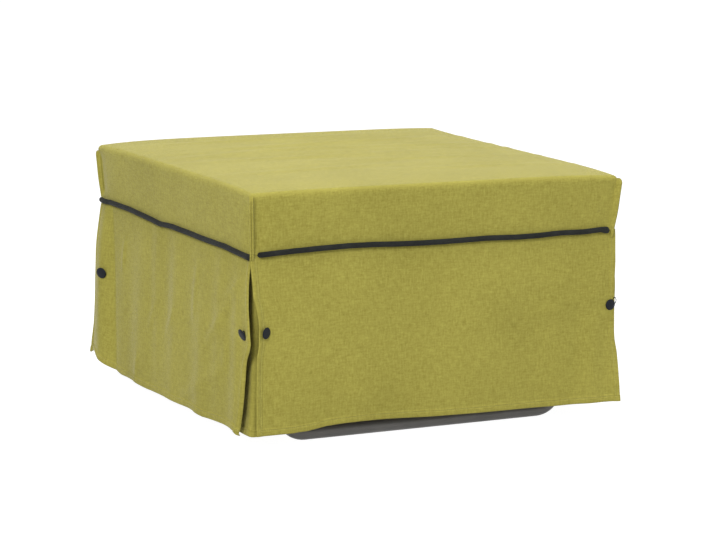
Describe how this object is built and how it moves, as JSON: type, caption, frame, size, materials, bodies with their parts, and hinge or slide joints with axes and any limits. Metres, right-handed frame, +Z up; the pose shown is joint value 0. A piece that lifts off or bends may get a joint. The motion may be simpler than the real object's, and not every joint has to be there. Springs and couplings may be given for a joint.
{
  "type": "folding ottoman bed",
  "caption": "Slipcovered box ottoman that holds a folded single bed on steel legs; the cover lifts off and the bed unfolds.",
  "frame": {"origin": "on the floor, at the middle of the ottoman's footprint", "axes": "+X along the front, +Y from the front to the back, +Z up"},
  "size_m": [0.782, 0.732, 0.4697],
  "materials": {
    "cover_canvas": "matt heathered canvas",
    "piping": "dark cotton piping",
    "button": "cloth-covered dome",
    "pad_foam": "stiff pad in lining",
    "ticking": "woven mattress ticking",
    "slat_wood": "lacquered beech ply",
    "slat_cap": "moulded",
    "frame_paint": "grey powder coat",
    "fixings": "zinc plated"
  },
  "bodies": {
    "base": {"base_frame": "frame_paint", "base_slats": "slat_wood", "base_slat_caps": "slat_cap", "base_mattress": "ticking", "base_leg_front": "frame_paint", "base_leg_back": "frame_paint", "front_hinge_base_plates": "frame_paint", "front_hinge_pins": "fixings"},
    "middle_section": {"middle_frame": "frame_paint", "middle_slats": "slat_wood", "middle_slat_caps": "slat_cap", "middle_mattress": "ticking", "middle_leg_bolts": "fixings", "front_hinge_middle_plates": "frame_paint", "back_hinge_middle_plates": "frame_paint", "back_hinge_pins": "fixings"},
    "end_section": {"end_frame": "frame_paint", "end_slats": "slat_wood", "end_slat_caps": "slat_cap", "end_mattress": "ticking", "end_leg_bolts": "fixings", "back_hinge_end_plates": "frame_paint"},
    "middle_leg": {"middle_leg": "frame_paint"},
    "end_leg": {"end_leg": "frame_paint"},
    "cover": {"cover_top_panel": "cover_canvas", "cover_band_front": "cover_canvas", "cover_band_back": "cover_canvas", "cover_band_left": "cover_canvas", "cover_band_right": "cover_canvas", "cover_skirt_front": "cover_canvas", "cover_skirt_back": "cover_canvas", "cover_skirt_left": "cover_canvas", "cover_skirt_right": "cover_canvas", "cover_seam_front_left": "cover_canvas", "cover_seam_front_right": "cover_canvas", "cover_seam_back_left": "cover_canvas", "cover_seam_back_right": "cover_canvas", "cover_pleat_front_left": "cover_canvas", "cover_pleat_front_right": "cover_canvas", "cover_pleat_back_left": "cover_canvas", "cover_pleat_back_right": "cover_canvas", "cover_top_pad": "pad_foam", "cover_piping_front": "piping", "cover_piping_back": "piping", "cover_piping_left": "piping", "cover_piping_right": "piping", "cover_buttons": "button"}
  },
  "joints": [
    {"name": "front_hinge", "type": "hinge", "parent": "base", "child": "middle_section", "pos_m": [0, -0.325, 0.2244], "axis": [1, 0, 0], "range_deg": [0, 180]},
    {"name": "back_hinge", "type": "hinge", "parent": "middle_section", "child": "end_section", "pos_m": [0, 0.315, 0.3368], "axis": [-1, 0, 0], "range_deg": [0, 180]},
    {"name": "middle_leg_fold", "type": "hinge", "parent": "middle_section", "child": "middle_leg", "pos_m": [0, 0.262, 0.3213], "axis": [-1, 0, 0], "range_deg": [0, 90]},
    {"name": "end_leg_fold", "type": "hinge", "parent": "end_section", "child": "end_leg", "pos_m": [0, -0.302, 0.3523], "axis": [-1, 0, 0], "range_deg": [0, 90]},
    {"name": "cover_lift", "type": "slide", "parent": "end_section", "child": "cover", "axis": [0, 0, 1], "range_m": [0, 2.02]}
  ],
  "couplings": [
    {"joint": "back_hinge", "follows": "front_hinge", "ratio": 1},
    {"joint": "middle_leg_fold", "follows": "front_hinge", "ratio": 0.5},
    {"joint": "end_leg_fold", "follows": "front_hinge", "ratio": 0.5},
    {"joint": "cover_lift", "follows": "front_hinge", "m_per_rad": 0.64}
  ]
}
